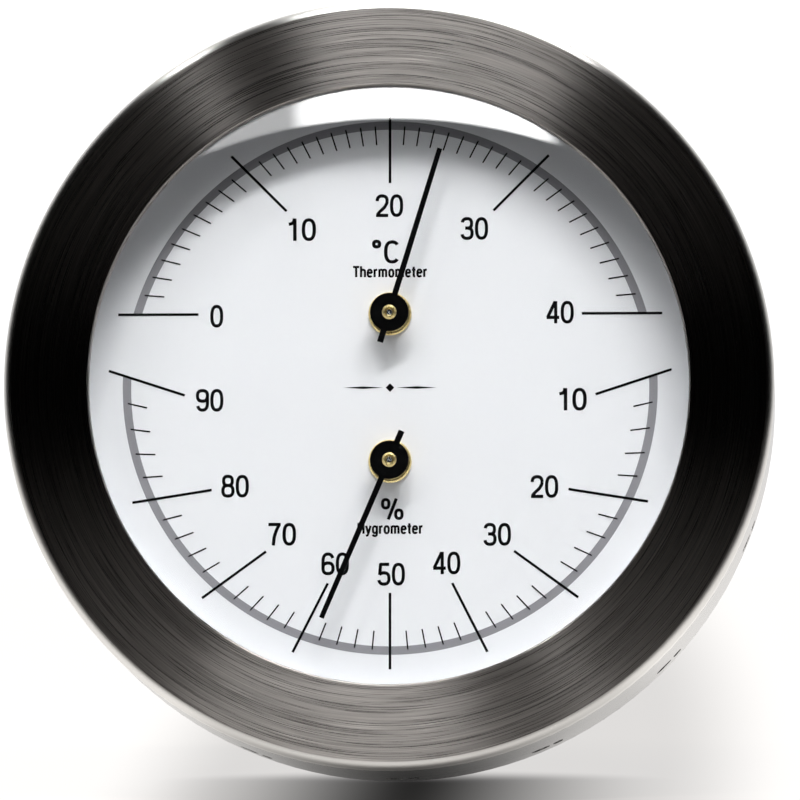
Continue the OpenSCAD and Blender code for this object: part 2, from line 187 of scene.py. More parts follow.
@dataclass(frozen=True)
class BrushedSteel:
    """Stainless steel with fine scratches all one way.

    The abrasive leaves scratches about 0.05 mm wide. They are too fine to show,
    so they are drawn 0.13 to 0.4 mm wide, with paler and darker streaks. A rim
    farther out than the piece itself means that the piece has none.
    """

    name: str
    colour: str
    roughness: float
    brushing: Brushing
    anisotropy: float
    streak_depth: float
    streak_mm: float = 0.25
    streak_length: float = 160.0
    streak_detail: float = 3.0
    streak_crispness: float = 0.65
    streak_ends: Span = (0.3, 0.7)
    gloss_spread: float = 0.2
    bump_strength: float = 0.05
    bump_mm: float = 0.02
    ring_radius_mm: float = 60.0
    rim_from_mm: float = 1000.0
    rim_blend_mm: float = 0.15
    rim_roughness: float = 0.5
    # A near-white colour on the rim: a painted highlight.
    rim_colour: str = "F2F0EC"

    def from_axis(
        self, tree: bpy.types.NodeTree
    ) -> tuple[bpy.types.NodeSocket, bpy.types.NodeSocket]:
        """Measures from the dial's axis.

        Args:
            tree: the material's node tree.

        Returns:
            The place flattened onto the dial, and its distance from the axis.
        """
        place = add_node(tree, "ShaderNodeTexCoord").outputs["Object"]
        flat = add_node(tree, "ShaderNodeVectorMath", {"operation": "MULTIPLY"}, {
            0: place, 1: (1.0, 0.0, 1.0),
        }).outputs[0]
        radius = add_node(
            tree, "ShaderNodeVectorMath", {"operation": "LENGTH"}, {0: flat}
        ).outputs["Value"]
        return flat, radius

    def streak_vector(self, tree: bpy.types.NodeTree) -> bpy.types.NodeSocket:
        """Builds coordinates that run along and across the scratches.

        Args:
            tree: the material's node tree.

        Returns:
            A vector that changes fast across the scratches, by one for each
            streak's width, and slowly along them.
        """
        place = add_node(tree, "ShaderNodeTexCoord").outputs["Object"]
        step = 1 / (self.streak_mm * MM)
        if self.brushing is Brushing.ACROSS:
            return add_node(tree, "ShaderNodeMapping", inputs={
                "Vector": place,
                "Scale": (step / self.streak_length, step / self.streak_length, step),
            }).outputs[0]
        flat, across = self.from_axis(tree)
        if self.brushing is Brushing.ROUND_WALL:
            across = add_node(tree, "ShaderNodeSeparateXYZ", inputs={0: place}).outputs["Y"]
        # The direction from the axis comes back to where it began, so no seam shows.
        outwards = add_node(
            tree, "ShaderNodeVectorMath", {"operation": "NORMALIZE"}, {0: flat}
        ).outputs[0]
        ways = add_node(tree, "ShaderNodeSeparateXYZ", inputs={0: outwards})
        reach = self.ring_radius_mm * MM * step / self.streak_length
        return add_node(tree, "ShaderNodeCombineXYZ", inputs={
            name: add_node(tree, "ShaderNodeMath", {"operation": "MULTIPLY"},
                           {0: value, 1: factor}).outputs[0]
            for name, value, factor in (
                ("X", across, step),
                ("Y", ways.outputs["X"], reach),
                ("Z", ways.outputs["Z"], reach),
            )
        }).outputs[0]

    def rim_share(self, tree: bpy.types.NodeTree) -> bpy.types.NodeSocket:
        """Finds the rounded rim, which has its own roughness and a lighter colour that paints
        a highlight on it.

        Args:
            tree: the material's node tree.

        Returns:
            One on the rim and zero inside it.
        """
        radius = self.from_axis(tree)[1]
        return add_node(tree, "ShaderNodeMapRange", inputs={
            "Value": radius, "From Min": self.rim_from_mm * MM,
            "From Max": (self.rim_from_mm + self.rim_blend_mm) * MM,
            "To Min": 0.0, "To Max": 1.0,
        }).outputs[0]

    def make(self) -> bpy.types.Material:
        """Builds the material, and returns it."""
        material, tree, out = new_material(self.name)
        streaks = add_node(tree, "ShaderNodeTexNoise", inputs={
            "Vector": self.streak_vector(tree), "Scale": 1.0,
            "Detail": self.streak_detail, "Roughness": self.streak_crispness,
        }).outputs["Fac"]
        steel_colour = varied_colour(
            tree, streaks, self.colour, self.streak_depth, self.streak_ends
        )
        rough = add_node(tree, "ShaderNodeMapRange", inputs={
            "Value": streaks,
            "From Min": self.streak_ends[0], "From Max": self.streak_ends[1],
            "To Min": self.roughness * (1 - self.gloss_spread),
            "To Max": self.roughness * (1 + self.gloss_spread),
        }).outputs[0]
        bump = add_node(tree, "ShaderNodeBump", inputs={
            "Strength": self.bump_strength, "Distance": self.bump_mm * MM, "Height": streaks,
        }).outputs[0]
        # On the rim the colour turns near white, a painted highlight, and the roughness is the
        # rim's own.
        rim = self.rim_share(tree)
        shader_inputs: dict[str | int, Any] = {
            "Base Color": add_node(tree, "ShaderNodeMix", {"data_type": "RGBA"}, {
                0: rim, 6: steel_colour, 7: linear(self.rim_colour),
            }).outputs[2],
            "Metallic": 1.0, "Normal": bump, "Anisotropic": self.anisotropy,
            "Roughness": add_node(tree, "ShaderNodeMix", {"data_type": "FLOAT"}, {
                0: rim, 2: rough, 3: self.rim_roughness,
            }).outputs[0],
        }
        if self.brushing is not Brushing.ACROSS:
            shader_inputs["Tangent"] = add_node(
                tree, "ShaderNodeTangent", {"direction_type": "RADIAL", "axis": "Y"}
            ).outputs[0]
            # The glint stretches across the scratches, a quarter turn away.
            shader_inputs["Anisotropic Rotation"] = 0.25
        steel = add_node(tree, "ShaderNodeBsdfPrincipled", inputs=shader_inputs)
        tree.links.new(steel.outputs[0], out.inputs[0])
        return material


@dataclass(frozen=True)
class FineMetal:
    """Brass, aluminium or steel with a faint grain in colour and gloss."""

    name: str
    colour: str
    roughness: float
    grain_mm: float = 0.3
    stretch: tuple[float, float, float] = (1.0, 1.0, 1.0)
    tarnish: float = 0.12
    gloss_spread: float = 0.3
    detail: float = 3.0

    def make(self) -> bpy.types.Material:
        """Builds the material, and returns it."""
        material, tree, out = new_material(self.name)
        grain = grain_pattern(tree, self.grain_mm, self.stretch, self.detail)
        rough = add_node(tree, "ShaderNodeMapRange", inputs={
            "Value": grain, "To Min": self.roughness * (1 - self.gloss_spread),
            "To Max": self.roughness * (1 + self.gloss_spread),
        }).outputs[0]
        metal = add_node(tree, "ShaderNodeBsdfPrincipled", inputs={
            "Base Color": varied_colour(tree, grain, self.colour, self.tarnish),
            "Metallic": 1.0, "Roughness": rough,
        })
        tree.links.new(metal.outputs[0], out.inputs[0])
        return material


@dataclass(frozen=True)
class Coating:
    """Paint, ink, plastic, rubber or fibre, with a fine mottle of its own."""

    name: str
    colour: str
    roughness: float
    mottle_mm: float = 0.4
    mottle: float = 0.03
    stretch: tuple[float, float, float] = (1.0, 1.0, 1.0)
    bump_mm: float = 0.002
    specular: float = 0.5
    bump_strength: float = 0.3
    detail: float = 2.0

    def make(self) -> bpy.types.Material:
        """Builds the material, and returns it."""
        material, tree, out = new_material(self.name)
        grain = grain_pattern(tree, self.mottle_mm, self.stretch, self.detail)
        bump = add_node(tree, "ShaderNodeBump", inputs={
            "Strength": self.bump_strength, "Distance": self.bump_mm * MM, "Height": grain,
        }).outputs[0]
        coat = add_node(tree, "ShaderNodeBsdfPrincipled", inputs={
            "Base Color": varied_colour(tree, grain, self.colour, self.mottle),
            "Roughness": self.roughness, "Specular IOR Level": self.specular, "Normal": bump,
        })
        tree.links.new(coat.outputs[0], out.inputs[0])
        return material


@dataclass(frozen=True)
class ClearGlass:
    """Float glass, flat on both sides, which lets the lamps through."""

    name: str = "float_glass"
    tint: str = "FDFEFE"
    ior: float = 1.5

    def make(self) -> bpy.types.Material:
        """Builds the material, and returns it."""
        material, tree, out = new_material(self.name)
        glass = add_node(tree, "ShaderNodeBsdfPrincipled", inputs={
            "Base Color": linear(self.tint), "Roughness": 0.0, "IOR": self.ior,
            "Transmission Weight": 1.0,
        })
        tree.links.new(glass.outputs[0], out.inputs[0])
        return material


# Turned stainless steel: the lathe's abrasive leaves rings, so the face is bright
# towards the lamp above and below, and nearly black at the sides.
BEZEL_STEEL = BrushedSteel("turned_stainless_steel", "AEA9A5", 0.3, Brushing.ROUND_FACE,
                           anisotropy=1.0, streak_mm=0.13, streak_depth=0.42,
                           streak_length=180.0, rim_from_mm=64.6, rim_roughness=0.28)
# Rolled stainless sheet, brushed round the band.
BAND_STEEL = BrushedSteel("brushed_stainless_sheet", "CDCCCA", 0.3, Brushing.ROUND_WALL,
                          anisotropy=0.6, streak_depth=0.12)
# The same sheet, brushed from side to side before the disc was cut.
BACK_STEEL = BrushedSteel("straight_brushed_stainless_sheet", "C6C5C3", 0.34, Brushing.ACROSS,
                          anisotropy=0.0, streak_mm=0.4, streak_depth=0.15)
# Half-hard brass sheet, pickled: warm and satin.
SHEET_BRASS = FineMetal("pickled_sheet_brass", "C9A45C", 0.35, 0.5, (0.1, 1.0, 1.0))
# Free-cutting brass off the lathe: brighter, with faint tool rings.
TURNED_BRASS = FineMetal("turned_brass", "D2AE62", 0.25, 0.15, (1.0, 3.0, 1.0))
# Burnished brass of the nuts and the pointers' tubes: yellow with sharp glints.
BRIGHT_BRASS = FineMetal("burnished_brass", "F3DC9C", 0.28, 0.2, (1.0, 2.0, 1.0), 0.08)
# Bimetal strip, its coppery side outwards.
BIMETAL = FineMetal("rolled_bimetal_strip", "B5835A", 0.32, 0.4, (1.0, 0.2, 1.0))
# Drawn aluminium rod of the pillars.
ALUMINIUM = FineMetal("turned_aluminium", "C9CBCD", 0.35, 0.2, (1.0, 3.0, 1.0))
# Bright zinc-plated screws.
SCREW_STEEL = FineMetal("bright_plated_steel", "BEC0C2", 0.28, 0.2)
# Ground silver steel of the shafts and the stud.
SHAFT_STEEL = FineMetal("ground_silver_steel", "A9ACB0", 0.2, 0.1, (1.0, 0.1, 1.0))
# Blued spring steel.
BLUED_STEEL = FineMetal("blued_spring_steel", "4A5570", 0.25, 0.3)
# Stove-enamelled dial: a cool matt white with a trace of orange peel.
DIAL_ENAMEL = Coating("matt_white_stove_enamel", "EDEEF1", 0.55, 0.8, 0.01, bump_mm=0.001,
                      specular=0.3)
# Screen ink, full black: edges a little dusty, nearly no gloss.
BLACK_INK = Coating("black_screen_ink", "09090B", 0.7, 0.15, 0.2, specular=0.05)
# Screen ink for the scale bands: a cool middle grey.
GREY_INK = Coating("grey_screen_ink", "8F8E93", 0.6, 0.15, 0.05, specular=0.2)
# Lacquered aluminium pointers: deep satin black.
POINTER_LACQUER = Coating("satin_black_lacquer", "040405", 0.5, 0.2, 0.2, specular=0.05)
# Moulded polystyrene spacer: pale and slightly glossy.
SPACER_PLASTIC = Coating("moulded_polystyrene", "D9DADC", 0.4, 0.5, 0.02)
# Black EPDM gasket with a talc bloom.
GASKET_RUBBER = Coating("epdm_rubber", "1C1C1D", 0.8, 0.3, 0.25, bump_mm=0.02, specular=0.3)
# Synthetic hair: fine tan fibres that run along the bundle.
HAIR_FIBRE = Coating("synthetic_hair", "9A7B52", 0.5, 0.1, 0.35, (0.02, 1.0, 1.0), 0.04)


@dataclass(frozen=True)
class DialPlane:
    """The front of the dial, and how its own millimetres become metres."""

    front_y: float

    def place(self, x_mm: float, y_mm: float, lift_mm: float = 0.0) -> Vector:
        """Turns a place on the dial into a point.

        Args:
            x_mm: distance to the reader's right of the dial's centre.
            y_mm: distance above the dial's centre.
            lift_mm: height in front of the dial.

        Returns:
            The point in the row's frame, in metres.
        """
        return Vector((x_mm * MM, self.front_y - lift_mm * MM, y_mm * MM))


class Bench:
    """Small moves that every piece is made with."""

    @staticmethod
    def clear() -> None:
        """Leaves object mode and deselects everything."""
        if bpy.context.object and bpy.context.object.mode != "OBJECT":
            bpy.ops.object.mode_set(mode="OBJECT")
        bpy.ops.object.select_all(action="DESELECT")

    @staticmethod
    def pick(*pieces: bpy.types.Object) -> None:
        """Selects pieces and makes the first one active.

        Args:
            pieces: the objects to select.
        """
        Bench.clear()
        for piece in pieces:
            piece.select_set(True)
        bpy.context.view_layer.objects.active = pieces[0]

    @staticmethod
    def settle(piece: bpy.types.Object) -> None:
        """Moves a piece's place, turn and scale into its mesh.

        Args:
            piece: the object to settle.
        """
        Bench.pick(piece)
        bpy.ops.object.transform_apply(location=True, rotation=True, scale=True)

    @staticmethod
    def joined(pieces: list[bpy.types.Object], name: str) -> bpy.types.Object:
        """Joins pieces into one.

        Args:
            pieces: the objects to join.
            name: what the result is called.

        Returns:
            The joined object, settled at the origin.
        """
        Bench.pick(*pieces)
        if len(pieces) > 1:
            bpy.ops.object.join()
        piece = bpy.context.object
        piece.name = name
        piece.data.name = name
        Bench.settle(piece)
        return piece

    @staticmethod
    def finish(
        piece: bpy.types.Object, material: bpy.types.Material, body: str, slot: str
    ) -> None:
        """Gives a piece its material and its body.

        Args:
            piece: the finished object.
            material: what it is made of.
            body: the body it moves with.
            slot: the record's material slot; not used.
        """
        piece.data.materials.clear()
        piece.data.materials.append(material)
        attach(piece, body)
        LOG.info("%s: %d faces on %s", piece.name, len(piece.data.polygons), body)


# A stroke of the pen is its points, and whether it closes.
Point = tuple[float, float]
Path = tuple[list[Point], bool]

# A bowl is squarer than an ellipse, whose power would be 1.
BOWL_POWER = 0.8
BOWL_STEP_DEG = 12
BOWL_LEAST_STEPS = 6


def oval(x: float, y: float, half_wide: float, half_high: float, start: float = 0.0,
         end: float = 360.0) -> Path:
    """Draws a bowl of a letter, a little squarer than an ellipse.

    Args:
        x, y: its middle.
        half_wide, half_high: half its width and half its height.
        start, end: where it starts and ends, in degrees from the right.

    Returns:
        Its points, and whether it closes.
    """
    steps = max(BOWL_LEAST_STEPS, round(abs(end - start) / BOWL_STEP_DEG))
    closed = abs(end - start) >= 360
    points = []
    for i in range(steps if closed else steps + 1):
        angle = math.radians(start + (end - start) * i / steps)
        wide, high = math.cos(angle), math.sin(angle)
        points.append((
            x + half_wide * math.copysign(abs(wide) ** BOWL_POWER, wide),
            y + half_high * math.copysign(abs(high) ** BOWL_POWER, high),
        ))
    return points, closed


def line(*points: Point) -> Path:
    """Returns an open path through points."""
    return list(points), False


SIX = (oval(0.295, 0.3, 0.23, 0.235), line((0.066, 0.3), (0.066, 0.6)),
       oval(0.295, 0.6, 0.23, 0.335, 180, 22))

# The middle lines of plain narrow grotesque characters, one unit high. Each has
# its width and its strokes.
GLYPHS: dict[str, tuple[float, tuple[Path, ...]]] = {
    "0": (0.59, (oval(0.295, 0.5, 0.23, 0.435),)),
    "1": (0.59, (line((0.36, 0.0), (0.36, 1.0)),
                 line((0.1, 0.745), (0.22, 0.765), (0.31, 0.84), (0.345, 1.0)))),
    "2": (0.59, (oval(0.295, 0.7, 0.225, 0.235, 180, 0),
                 line((0.52, 0.7), (0.505, 0.6), (0.4, 0.42), (0.2, 0.24), (0.1, 0.13),
                      (0.075, 0.0)),
                 line((0.02, 0.06), (0.57, 0.06)))),
    "3": (0.59, (oval(0.285, 0.725, 0.21, 0.215, 172, -85), line((0.2, 0.52), (0.32, 0.52)),
                 oval(0.29, 0.29, 0.23, 0.23, 85, -172))),
    "4": (0.59, (line((0.42, 0.0), (0.42, 1.0)), line((0.0, 0.27), (0.585, 0.27)),
                 line((0.045, 0.27), (0.39, 0.97)))),
    "5": (0.59, (line((0.1, 0.94), (0.53, 0.94)), line((0.135, 0.98), (0.09, 0.47)),
                 oval(0.285, 0.31, 0.235, 0.25, 145, -168))),
    "6": (0.59, SIX),
    "7": (0.59, (line((0.02, 0.94), (0.57, 0.94)),
                 line((0.52, 0.96), (0.38, 0.68), (0.28, 0.38), (0.24, 0.0)))),
    "8": (0.59, (oval(0.295, 0.735, 0.2, 0.205), oval(0.295, 0.295, 0.23, 0.235))),
    "9": (0.59, tuple(([(0.59 - x, 1 - y) for x, y in path], closed) for path, closed in SIX)),
    "°": (0.42, (oval(0.2, 0.85, 0.12, 0.12),)),
    "C": (0.72, (oval(0.36, 0.5, 0.27, 0.44, 42, 318),)),
    "%": (1.1, (oval(0.23, 0.75, 0.15, 0.2), oval(0.85, 0.25, 0.15, 0.2),
                line((0.73, 1.0), (0.35, 0.0)))),
    "T": (0.55, (line((0.0, 0.93), (0.55, 0.93)), line((0.275, 0.0), (0.275, 0.93)))),
    "H": (0.66, (line((0.1, 0.0), (0.1, 1.0)), line((0.54, 0.0), (0.54, 1.0)),
                 line((0.1, 0.53), (0.54, 0.53)))),
    "h": (0.54, (line((0.09, 0.0), (0.09, 1.0)), oval(0.265, 0.5, 0.175, 0.17, 180, 0),
                 line((0.44, 0.0), (0.44, 0.5)))),
    "e": (0.53, (oval(0.26, 0.36, 0.18, 0.31, 0, 322), line((0.08, 0.39), (0.44, 0.39)))),
    "r": (0.36, (line((0.09, 0.0), (0.09, 0.73)), oval(0.28, 0.46, 0.19, 0.2, 180, 80))),
    "m": (0.82, (line((0.09, 0.0), (0.09, 0.73)), oval(0.24, 0.5, 0.15, 0.17, 180, 0),
                 line((0.39, 0.0), (0.39, 0.5)), oval(0.54, 0.5, 0.15, 0.17, 180, 0),
                 line((0.69, 0.0), (0.69, 0.5)))),
    "o": (0.54, (oval(0.26, 0.36, 0.18, 0.31),)),
    "t": (0.34, (line((0.16, 0.94), (0.16, 0.17)), oval(0.26, 0.17, 0.1, 0.11, 180, 280),
                 line((0.0, 0.66), (0.32, 0.66)))),
    "y": (0.5, (line((0.04, 0.73), (0.24, 0.03)),
                line((0.44, 0.73), (0.25, 0.05), (0.18, -0.14), (0.03, -0.19)))),
    "g": (0.54, (oval(0.25, 0.37, 0.17, 0.3), line((0.43, 0.73), (0.43, 0.0)),
                 oval(0.25, 0.0, 0.18, 0.2, 0, -165))),
}


@dataclass(frozen=True)
class Scale:
    """One printed scale: where it turns, what it counts and how it is drawn.

    A label is a value and the place of its middle. The unit and the word are each a
    text, the place of its middle, its height, its width and its stroke's share.
    """

    name: str
    pivot_y: float
    zero_value: float
    zero_turn: float
    degrees_per_unit: float
    first: int
    last: int
    minor_step: int
    labels: tuple[tuple[int, float, float], ...]
    unit: tuple[str, Point, float, float, float]
    word: tuple[str, Point, float, float, float]

    def turn(self, value: float) -> float:
        """Returns how far clockwise from straight up a value lies, in degrees."""
        return self.zero_turn + (value - self.zero_value) * self.degrees_per_unit

    def on_circle(self, value: float, radius: float) -> Vector:
        """Finds where the ray of a value meets a circle about the dial's centre.

        Args:
            value: the scale's value.
            radius: the circle's radius in millimetres.

        Returns:
            The place on the dial, in millimetres.
        """
        turn = math.radians(self.turn(value))
        ray = Vector((math.sin(turn), math.cos(turn)))
        along = ray.y * self.pivot_y
        reach = -along + math.sqrt(along ** 2 - self.pivot_y ** 2 + radius ** 2)
        return Vector((0.0, self.pivot_y)) + reach * ray


THERMOMETER = Scale(
    "temperature", 12.7, 20, 0.0, 4.5, 0, 40, 1,
    ((0, -29.8, 12.4), (10, -15.1, 27.3), (20, -0.1, 31.4), (30, 14.5, 27.4),
     (40, 29.2, 12.9)),
    ("°C", (-0.8, 23.4), 3.9, 4.6, 0.15), ("Thermometer", (0.0, 20.0), 1.9, 12.7, 0.2),
)
HYGROMETER = Scale(
    "humidity", -12.7, 50, 180.0, 2.7, 10, 90, 2,
    ((10, 31.4, -2.1), (20, 26.5, -17.1), (30, 18.4, -25.3), (40, 9.7, -30.2),
     (50, 0.2, -32.1), (60, -9.4, -30.3), (70, -18.5, -25.2), (80, -26.6, -16.9),
     (90, -31.0, -2.1)),
    ("%", (0.4, -20.9), 3.6, 3.9, 0.15), ("Hygrometer", (0.0, -24.2), 1.9, 11.2, 0.2),
)


@dataclass
class DialPrint:
    """The ink on the dial: scale bands, marks, figures and words.

    Sizes are in millimetres, apart from the stroke and the gap between letters,
    which are shares of the height.
    """

    plane: DialPlane
    ink_mm: float = 0.012
    lift_mm: float = 0.006
    band_inner: float = 44.5
    band_outer: float = 45.95
    major_inner: float = 35.3
    major_outer: float = 48.45
    major_width: float = 0.45
    minor_inner: float = 41.9
    minor_outer: float = 45.15
    minor_width: float = 0.25
    label_step: int = 10
    figure_height: float = 3.85
    figure_width: float = 2.25
    pair_width: float = 4.75
    figure_stroke: float = 0.15
    letter_gap: float = 0.07
    arc_steps: int = 160
    arc_start_width: float = 0.01
    weld: float = 0.0001
    rule_middle: float = 4.6
    rule_half_length: float = 3.4
    rule_half_height: float = 0.22
    lozenge_half: float = 0.75

    def mark(self, scale: Scale, value: float, inner: float, outer: float, width: float,
             lift: float) -> bpy.types.Object:
        """Prints one mark of a scale.

        Args:
            scale: the scale that it belongs to.
            value: the value that it stands for.
            inner: radius of its inner end, in millimetres.
            outer: radius of its outer end, in millimetres.
            width: its width in millimetres.
            lift: height of its middle in front of the dial, in millimetres.

        Returns:
            The mark as a thin bar.
        """
        start, end = scale.on_circle(value, inner), scale.on_circle(value, outer)
        middle = (start + end) / 2
        Bench.clear()
        bpy.ops.mesh.primitive_cube_add(
            size=1.0, location=self.plane.place(middle.x, middle.y, lift),
            rotation=(0.0, math.radians(scale.turn(value)), 0.0),
        )
        bar = bpy.context.object
        bar.scale = (width * MM, self.ink_mm * MM, (end - start).length * MM)
        Bench.settle(bar)
        return bar

    def marks(self, scale: Scale) -> bpy.types.Object:
        """Prints all the marks of a scale.

        Args:
            scale: the scale to print.

        Returns:
            One piece with every mark.
        """
        major = (self.major_inner, self.major_outer, self.major_width)
        minor = (self.minor_inner, self.minor_outer, self.minor_width)
        # The marks lie on the grey band, with a gap as thick as the ink.
        lift = self.lift_mm + 2 * self.ink_mm
        bars = [
            self.mark(scale, value, *(minor if value % self.label_step else major), lift)
            for value in range(scale.first, scale.last + 1, scale.minor_step)
        ]
        return Bench.joined(bars, f"{scale.name}_marks")

    def band(self, scale: Scale) -> bpy.types.Object:
        """Prints the grey arc that a scale's marks cross.

        Args:
            scale: the scale that it belongs to.

        Returns:
            The arc as one thin piece.
        """
        middle = (self.band_inner + self.band_outer) / 2
        first = scale.on_circle(scale.first, middle)
        last = scale.on_circle(scale.last, middle)
        start = math.atan2(first.x, first.y)
        sweep = (math.atan2(last.x, last.y) - start) % math.tau
        Bench.clear()
        bpy.ops.mesh.primitive_cube_add(
            size=1.0, location=self.plane.place(0, middle, self.lift_mm)
        )
        arc = bpy.context.object
        arc.scale = (self.arc_start_width * MM, self.ink_mm * MM,
                     (self.band_outer - self.band_inner) * MM)
        Bench.settle(arc)
        bpy.ops.object.mode_set(mode="EDIT")
        bpy.ops.mesh.select_all(action="DESELECT")
        mesh = bmesh.from_edit_mesh(arc.data)
        for face in mesh.faces:
            face.select = face.normal.x > 0.9
        bmesh.update_edit_mesh(arc.data)
        bpy.ops.mesh.delete(type="FACE")
        mesh = bmesh.from_edit_mesh(arc.data)
        for vert in mesh.verts:
            vert.select = vert.co.x > 0
        mesh.select_flush_mode()
        for edge in mesh.edges:
            edge.select = all(v.co.x > 0 for v in edge.verts)
        bmesh.update_edit_mesh(arc.data)
        bpy.ops.mesh.spin(steps=self.arc_steps, angle=-sweep, center=self.plane.place(0, 0),
                          axis=(0, 1, 0))
        bpy.ops.mesh.select_all(action="SELECT")
        bpy.ops.mesh.remove_doubles(threshold=self.weld * MM)
        bpy.ops.mesh.normals_make_consistent(inside=False)
        bpy.ops.object.mode_set(mode="OBJECT")
        arc.data.transform(Matrix.Rotation(start, 4, "Y"))
        arc.name = f"{scale.name}_band"
        return arc

    def lettering(self, name: str, text: str, centre: Point, height: float, width: float,
                  stroke: float) -> bpy.types.Object:
        """Prints a short text in strokes of one width.

        Args:
            name: what the piece is called.
            text: the characters.
            centre: the middle of the inked width and of the capitals' height, in
                millimetres.
            height: the capitals' height in millimetres.
            width: the inked width in millimetres.
            stroke: the stroke's width as a share of the height.

        Returns:
            The text as a thin mesh.
        """
        Bench.clear()
        curve = bpy.data.curves.new(name, "CURVE")
        curve.dimensions = "3D"
        curve.bevel_depth = stroke / 2
        curve.bevel_resolution = 1
        curve.use_fill_caps = True
        pen = 0.0
        for letter in text:
            advance, paths = GLYPHS[letter]
            for points, closed in paths:
                spline = curve.splines.new("POLY")
                spline.points.add(len(points) - 1)
                spline.use_cyclic_u = closed
                for knot, (x, y) in zip(spline.points, points):
                    knot.co = (pen + x, y, 0.0, 1.0)
            pen += advance + self.letter_gap
        words = bpy.data.objects.new(name, curve)
        bpy.context.scene.collection.objects.link(words)
        Bench.pick(words)
        bpy.ops.object.convert(target="MESH")
        words = bpy.context.object
        mesh = words.data
        xs = [v.co.x for v in mesh.vertices]
        stretch = width / (max(xs) - min(xs))
        mesh.transform(Matrix.Translation((-(max(xs) + min(xs)) / 2, -0.5, 0.0)))
        sizes = (stretch * MM, height * MM, self.ink_mm * MM / stroke, 1.0)
        mesh.transform(Matrix.Diagonal(sizes))
        mesh.transform(Matrix.Rotation(math.pi / 2, 4, "X"))
        middle = self.plane.place(*centre, self.lift_mm + self.ink_mm)
        mesh.transform(Matrix.Translation(middle))
        words.name = name
        return words

    def figures(self, scale: Scale) -> bpy.types.Object:
        """Prints the figures of a scale, its unit and its name.

        Args:
            scale: the scale to print.

        Returns:
            One piece with all of them.
        """
        parts = []
        for value, x, y in scale.labels:
            digits = str(value)
            width = self.figure_width if len(digits) == 1 else self.pair_width
            parts.append(self.lettering(f"figure_{digits}", digits, (x, y), self.figure_height,
                                        width, self.figure_stroke))
        parts.append(self.lettering("unit", *scale.unit))
        parts.append(self.lettering("word", *scale.word))
        return Bench.joined(parts, f"{scale.name}_figures")

    def ornament(self) -> bpy.types.Object:
        """Prints a plain tapered rule with a lozenge, midway between the scales.

        Returns:
            The ornament as one thin piece.
        """
        parts = []
        for x, half_length, half_height in (
            (-self.rule_middle, self.rule_half_length, self.rule_half_height),
            (self.rule_middle, self.rule_half_length, self.rule_half_height),
            (0.0, self.lozenge_half, self.lozenge_half),
        ):
            Bench.clear()
            bpy.ops.mesh.primitive_circle_add(
                vertices=4, radius=1.0, fill_type="NGON",
                location=self.plane.place(x, 0.0, self.lift_mm),
                rotation=(math.pi / 2, 0.0, 0.0),
            )
            lozenge = bpy.context.object
            lozenge.scale = (half_length * MM, half_height * MM, 1.0)
            Bench.settle(lozenge)
            bpy.ops.object.mode_set(mode="EDIT")
            bpy.ops.mesh.select_all(action="SELECT")
            bpy.ops.mesh.extrude_region_move(
                TRANSFORM_OT_translate={"value": (0.0, -self.ink_mm * MM, 0.0)}
            )
            bpy.ops.mesh.select_all(action="SELECT")
            bpy.ops.mesh.normals_make_consistent(inside=False)
            bpy.ops.object.mode_set(mode="OBJECT")
            parts.append(lozenge)
        return Bench.joined(parts, "dial_ornament")

    def build(self) -> None:
        """Prints everything and lets it ride with the case."""
        black, grey = BLACK_INK.make(), GREY_INK.make()
        for scale in (THERMOMETER, HYGROMETER):
            Bench.finish(self.band(scale), grey, "case", "dial_paint")
            Bench.finish(self.marks(scale), black, "case", "dial_paint")
            Bench.finish(self.figures(scale), black, "case", "dial_paint")
        Bench.finish(self.ornament(), black, "case", "dial_paint")


@dataclass
class SolidFinishes:
    """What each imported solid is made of."""

    nodes: dict[str, bpy.types.Object]

    def dress(self, finish: Any, *names: str) -> None:
        """Gives solids one finish.

        Args:
            finish: the finish, which makes its own material.
            names: the solids' names.
        """
        material = finish.make()
        for name in names:
            node = self.nodes[name]
            for slot in node.material_slots:
                slot.material = material
            LOG.info("%s: %s", name, material.name)

    def build(self) -> None:
        """Dresses every solid."""
        self.dress(BEZEL_STEEL, "bezel_ring")
        self.dress(BAND_STEEL, "case_band")
        self.dress(BACK_STEEL, "case_back")
        self.dress(ClearGlass(), "front_glass")
        self.dress(GASKET_RUBBER, "glass_gasket")
        self.dress(SPACER_PLASTIC, "spacer_ring")
        self.dress(DIAL_ENAMEL, "dial_plate")
        self.dress(ALUMINIUM, "mounting_pillars")
        self.dress(SCREW_STEEL, "dial_screws", "bridge_screws", "hair_clamp_screw")
        self.dress(SHEET_BRASS, "thermometer_frame", "hygrometer_plate", "hygrometer_bridge",
                   "sector_gear", "adjuster_lever")
        self.dress(TURNED_BRASS, "thermometer_bush", "thermometer_bearing",
                   "spiral_anchor_post", "thermometer_hub", "hygrometer_bush",
                   "hygrometer_bearing", "bridge_pillars", "hairspring_post",
                   "hygrometer_hub", "hygrometer_pinion", "hair_hook", "adjuster_arbor",
                   "hair_clamp")
        self.dress(BRIGHT_BRASS, "thermometer_nut", "thermometer_collet", "hygrometer_nut",
                   "hygrometer_collet")
        self.dress(BIMETAL, "bimetal_spiral")
        self.dress(SHAFT_STEEL, "thermometer_shaft", "hygrometer_shaft", "sector_stud")
        self.dress(BLUED_STEEL, "hairspring", "sector_clip", "adjuster_washer")
        self.dress(POINTER_LACQUER, "thermometer_pointer", "hygrometer_pointer")
        self.dress(HAIR_FIBRE, "hair_bundle")
        # The pane casts no shadow, so the lamps reach the dial through it.
        self.nodes["front_glass"].visible_shadow = False


